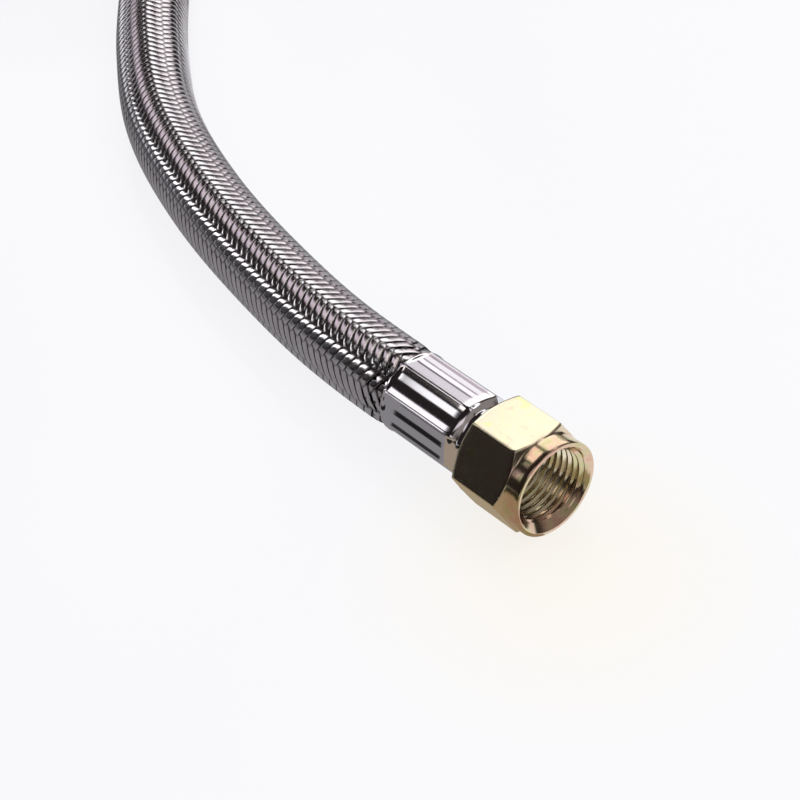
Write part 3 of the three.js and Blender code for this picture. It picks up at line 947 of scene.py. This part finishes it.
def glow_mesh(row, height, reach, around):
    """A light box or card as a mesh that fades at its edges to the glow around it."""
    name, start, end, low, high, edge, strength, colour = row
    backs = [start - edge, *np.linspace(start, end, 2 + int((end - start) / 8.0)), end + edge]
    angles = [low - edge, *np.linspace(low, high, 2 + int((high - low) / 6.0)), high + edge]
    mesh = bpy.data.meshes.new(name)
    corners = [tuple(mirrored(b, a, height, reach) * MM) for b in backs for a in angles]
    count = len(angles)
    faces = [(i * count + j, i * count + j + 1, (i + 1) * count + j + 1, (i + 1) * count + j)
             for i in range(len(backs) - 1) for j in range(count - 1)]
    mesh.from_pydata(corners, [], faces)
    share = mesh.attributes.new("share", "FLOAT", "POINT")
    inner = np.zeros((len(backs), count))
    inner[1:-1, 1:-1] = 1.0
    share.data.foreach_set("value", inner.ravel())
    change = [strength * a - b for a, b in zip(linear(colour), around)]
    mesh.materials.append(glowing(name, lambda add: add(VECTORS, (
        add("ShaderNodeAttribute", attribute_name="share").outputs["Fac"], change, around),
        operation="MULTIPLY_ADD")))
    return mesh


def for_reflections(name, mesh):
    """Puts a mesh in the scene where only reflections see it."""
    piece = linked(name, mesh)
    for ray in ("camera", "diffuse", "shadow", "transmission", "volume_scatter"):
        setattr(piece, "visible_" + ray, False)


def panel_glow(add, azimuth, elevation, panel):
    """Colour of one panel at that direction, faded at its edges."""
    middle, height, long_half, short_half, edge, strength, colour = panel
    # Angles are taken from -X, so that no panel crosses the step at half a turn.
    side = add(MATHS, (azimuth, middle - 180.0), operation="SUBTRACT")
    side = add(MATHS, (side, 180.0, -180.0), operation="WRAP")
    rise = add(MATHS, (elevation, height), operation="SUBTRACT")
    mask = 1.0
    for place, half in ((side, long_half), (rise, short_half)):
        fade = add("ShaderNodeMapRange", {
            "Value": add(MATHS, (place,), operation="ABSOLUTE"), "From Min": half - edge / 2,
            "From Max": half + edge / 2, "To Min": 1.0, "To Max": 0.0},
            interpolation_type="SMOOTHSTEP")
        mask = add(MATHS, (mask, fade), operation="MULTIPLY")
    colour = [strength * channel for channel in linear(colour)]
    return add(VECTORS, {0: colour, "Scale": mask}, operation="SCALE")


def walls_glow(add):
    """Colour of the dome in each direction from its middle."""
    place = add(VECTORS, (add("ShaderNodeTexCoord").outputs["Object"],), operation="NORMALIZE")
    axis = add("ShaderNodeSeparateXYZ", (place,)).outputs
    flipped = [add(MATHS, (axis[name], -1.0), operation="MULTIPLY") for name in "YX"]
    angles = [add(MATHS, (add(MATHS, values, operation=operation),), operation="DEGREES")
              for operation, values in (("ARCTAN2", flipped), ("ARCSINE", [axis["Z"]]))]
    glow = WALL_GLOW
    for panel in PANELS:
        glow = add(VECTORS, (glow, panel_glow(add, *angles, panel)), operation="ADD")
    return glow


def studio_walls():
    """A dome that only reflections see: dark walls with soft lit panels."""
    mesh = bpy.data.meshes.new("studio_walls")
    shape = bmesh.new()
    bmesh.ops.create_uvsphere(shape, u_segments=64, v_segments=32, radius=6.0)
    shape.to_mesh(mesh)
    shape.free()
    mesh.materials.append(glowing("studio_walls", walls_glow))
    for_reflections("studio_walls", mesh)


def overhead_lamp():
    """A large soft lamp over the back of the hose, which gives the floor its soft shadow."""
    lamp = bpy.data.lights.new("overhead", "AREA")
    lamp.size, lamp.energy = 1.2, 6.0
    box = linked("overhead", lamp)
    box.location = (-0.1, 0.6, 1.4)
    box.rotation_mode = "QUATERNION"
    aim = Vector((-0.05, 0.0, 0.0)) - box.location
    box.rotation_quaternion = aim.to_track_quat("-Z", "Y")
    box.visible_glossy = False


def floor_sheet(name, height, material):
    """A square sheet of floor at that height."""
    mesh = bpy.data.meshes.new(name)
    corners = [(x * FLOOR_HALF, y * FLOOR_HALF, height)
               for x, y in ((-1, -1), (1, -1), (1, 1), (-1, 1))]
    mesh.from_pydata(corners, [], [(0, 1, 2, 3)])
    mesh.materials.append(material)
    return mesh


def white_gloss():
    """White acrylic sheet, cast and polished: it takes a soft shadow, and where the camera sees
    it, its own even white, with painted warm light near the nut for the light the nut throws on
    it."""
    material, add = new_material("white_gloss_acrylic")
    base = add("ShaderNodeBsdfPrincipled", {
        "Base Color": (*finishes().floor, 1.0), "Roughness": 0.15})
    path = add("ShaderNodeLightPath").outputs
    seen = path["Is Camera Ray"]
    for ray in ("Is Glossy Ray", "Is Transmission Ray"):
        seen = add(MATHS, (seen, path[ray]), operation="MAXIMUM")
    share = add(MATHS, (seen, FLOOR_WHITE), operation="MULTIPLY")
    # Painted light: a warm pool on the floor near the nut, for light thrown from the plated nut.
    place = add("ShaderNodeTexCoord").outputs["Object"]
    away = add(VECTORS, (place, (28 * MM, -6 * MM, 0.0)), operation="DISTANCE")
    near = add("ShaderNodeMapRange", {
        "Value": away.outputs["Value"], "From Min": 8 * MM, "From Max": 45 * MM})
    shade = add("ShaderNodeValToRGB", (near,), [(0.0, "#fefaf2"), (1.0, "#fbfbfd")])
    glow = add("ShaderNodeEmission", (shade, 1.0))
    add("ShaderNodeOutputMaterial", (add("ShaderNodeMixShader", (share, base, glow)),))
    return material


class HOSE_OT_stage(bpy.types.Operator):
    """Sets the camera, the floor, the lamps and the world"""

    bl_idname = "gas_hose.stage"
    bl_label = "Stage"

    def execute(self, context):
        scene = context.scene
        view = bpy.data.cameras.new("camera")
        view.lens, view.sensor_width = CAMERA_LENS, 36.0
        view.clip_start, view.clip_end = 0.01, 20.0
        camera = linked("camera", view)
        turn = Matrix(CAMERA_AXES).transposed().to_4x4()
        camera.matrix_world = Matrix.Translation(Vector(CAMERA_PLACE) * MM) @ turn
        scene.camera = camera
        scene.view_settings.view_transform = "Standard"

        floor = linked("floor", floor_sheet("floor", -0.02 * MM, white_gloss()))
        floor.visible_glossy = False

        studio_walls()
        for number, row in enumerate(LIGHT_BOXES):
            for_reflections(row[0], glow_mesh(row, None, BOX_REACH + 20.0 * number, WALL_GLOW))
        white = linear("#f9f9fd")
        grey = [SHADE_CARDS[0][6] * channel for channel in linear(SHADE_CARDS[0][7])]
        for number, row in enumerate(SHADE_CARDS):
            around = white if number < 2 else grey
            for_reflections(row[0], glow_mesh(row, -0.3 + 0.05 * number, None, around))
        plain = glowing("mirrored_floor", lambda add: (*white, 1.0))
        for_reflections("mirrored_floor", floor_sheet("mirrored_floor", -0.4 * MM, plain))
        overhead_lamp()
        world = bpy.data.worlds.new("studio")
        world.use_nodes = True
        world.node_tree.nodes.clear()
        scene.world = world
        glow = add_node(world.node_tree, "ShaderNodeBackground", {
            "Color": (*linear("#f6f6fb"), 1.0), "Strength": 0.8})
        add_node(world.node_tree, "ShaderNodeOutputWorld", {"Surface": glow})
        return {"FINISHED"}


class HOSE_PT_panel(bpy.types.Panel):
    """Lists the sizes, the finishes and the makers of the hose"""

    bl_idname = "HOSE_PT_panel"
    bl_label = "Gas hose"
    bl_space_type = "VIEW_3D"
    bl_region_type = "UI"
    bl_category = "Gas hose"

    def draw(self, context):
        for group in (sizes(), fitting(), finishes()):
            box = self.layout.box()
            for name in group.__annotations__:
                box.prop(group, name)
        for maker in MAKERS:
            self.layout.operator(maker.bl_idname)


MAKERS = (HOSE_OT_stage, HOSE_OT_tube, HOSE_OT_nuts, HOSE_OT_stems, HOSE_OT_ferrules,
          HOSE_OT_ties, HOSE_OT_braid, HOSE_OT_layers)
SETTINGS = {"hose_sizes": HoseSizes, "fitting_sizes": FittingSizes, "hose_finishes": Finishes}
CLASSES = (*SETTINGS.values(), *MAKERS, HOSE_PT_panel)


def register():
    for item in CLASSES:
        bpy.utils.register_class(item)
    for name, group in SETTINGS.items():
        setattr(bpy.types.Scene, name, PointerProperty(type=group))


def unregister():
    for name in SETTINGS:
        delattr(bpy.types.Scene, name)
    for item in reversed(CLASSES):
        bpy.utils.unregister_class(item)


def main():
    register()
    for maker in MAKERS:
        group, name = maker.bl_idname.split(".")
        getattr(getattr(bpy.ops, group), name)()


if __name__ == "__main__":
    main()
